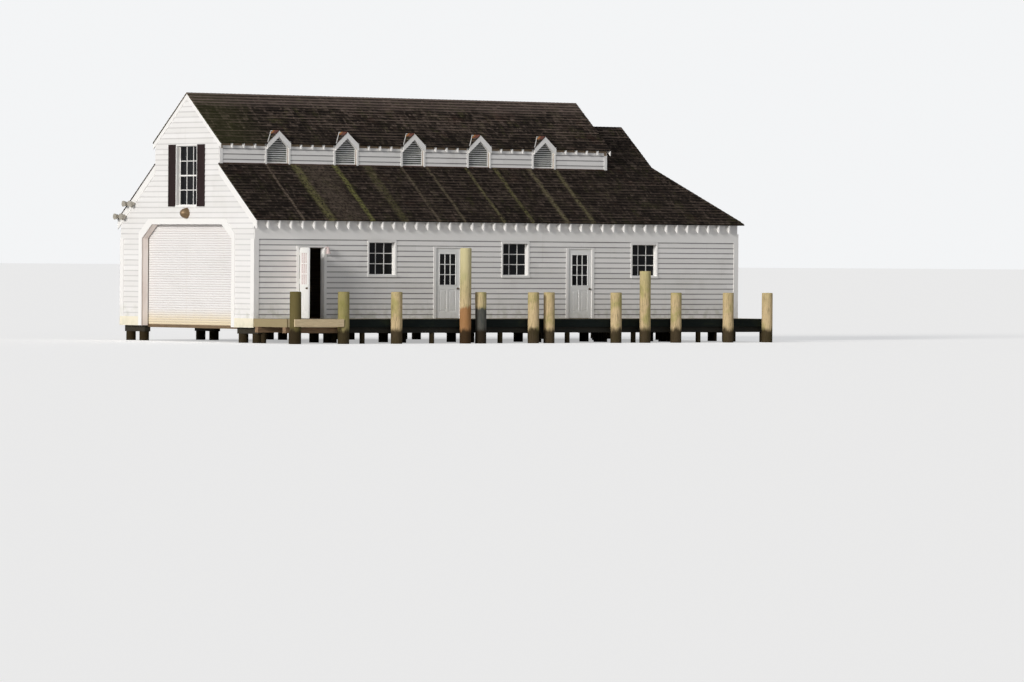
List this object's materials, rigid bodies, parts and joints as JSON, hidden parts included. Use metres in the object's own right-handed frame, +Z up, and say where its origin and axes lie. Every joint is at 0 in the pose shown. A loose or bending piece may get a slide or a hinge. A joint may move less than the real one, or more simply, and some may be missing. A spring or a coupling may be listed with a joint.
{
  "type": "boathouse",
  "caption": "Wooden boathouse on piles over the water, with a raised louvred roof, a shuttered slip entrance in the gable, side doors and a deck on piles.",
  "frame": {"origin": "Under the middle of everything that is built, at the water line where the piles end.", "axes": "+X runs along the building from the gable with the slip entrance to the hipped end, +Y from the deck side to the far side, +Z up."},
  "size_m": [18.27, 8.753, 7.1722],
  "materials": {
    "siding": "painted white clapboards",
    "trim": "painted white boards",
    "shingles": "weathered mossy wood shingles",
    "rust_metal": "rusty sheet metal",
    "glass": "dark window glass",
    "blinds": "black painted wood",
    "planks": "weathered sawn boards",
    "timber": "dark damp sawn timber",
    "piles": "green grey weathered round timber",
    "shutter_metal": "satin white paint",
    "bronze_metal": "brown satin paint",
    "door_paint": "white satin paint",
    "knob_metal": "dark aged brass",
    "lamp_metal": "grey satin paint"
  },
  "bodies": {
    "building": {"front_wall": "siding", "front_wall_header": "siding", "back_wall": "siding", "end_wall": "siding", "gable_piers": "siding", "gable_wall": "siding", "monitor_side_walls": "siding", "monitor_end_wall": "siding", "gablet_wall": "siding", "lower_roof_front": "shingles", "lower_roof_back": "shingles", "hip_roof": "shingles", "upper_roof_front": "shingles", "upper_roof_back": "shingles", "dormer_roofs": "shingles", "ridge_caps": "shingles", "dormer_caps": "rust_metal", "dormer_louvres": "trim", "rafter_tails": "trim", "rake_boards": "trim", "corner_boards": "trim", "frieze_boards": "trim", "skirt_boards": "trim", "window_frames": "trim", "door_frames": "trim", "shutter_frame": "trim", "window_glass": "glass", "gable_blinds": "blinds", "walkways": "planks", "end_platform": "planks", "deck": "planks", "deck_fascia": "planks", "deck_waler": "planks", "sill_timbers": "timber", "pile_caps": "timber", "deck_joists": "timber", "deck_beams": "timber", "foundation_piles": "piles", "deck_piles": "piles", "shutter_guides": "shutter_metal", "shutter_curtain": "shutter_metal", "shutter_bottom_bar": "bronze_metal", "shutter_drum": "shutter_metal", "dome_lamp": "bronze_metal", "flood_lamps": "lamp_metal", "door_lamp": "door_paint"},
    "door_1_leaf": {"door_1": "door_paint", "door_1_glass": "glass", "door_1_knobs": "knob_metal"},
    "door_2_leaf": {"door_2": "door_paint", "door_2_glass": "glass", "door_2_knobs": "knob_metal"},
    "door_3_leaf": {"door_3": "door_paint", "door_3_glass": "glass", "door_3_knobs": "knob_metal"}
  },
  "joints": [
    {"name": "door_1_hinge", "type": "hinge", "parent": "building", "child": "door_1_leaf", "pos_m": [-7.3275, -2.4435, 1.7], "axis": [0, 0, -1], "range_deg": [-109.5, 3]},
    {"name": "door_2_hinge", "type": "hinge", "parent": "building", "child": "door_2_leaf", "pos_m": [-2.4257, -2.4435, 1.7], "axis": [0, 0, -1], "range_deg": [0, 112.5]},
    {"name": "door_3_hinge", "type": "hinge", "parent": "building", "child": "door_3_leaf", "pos_m": [2.4861, -2.4435, 1.7], "axis": [0, 0, -1], "range_deg": [0, 112.5]}
  ]
}
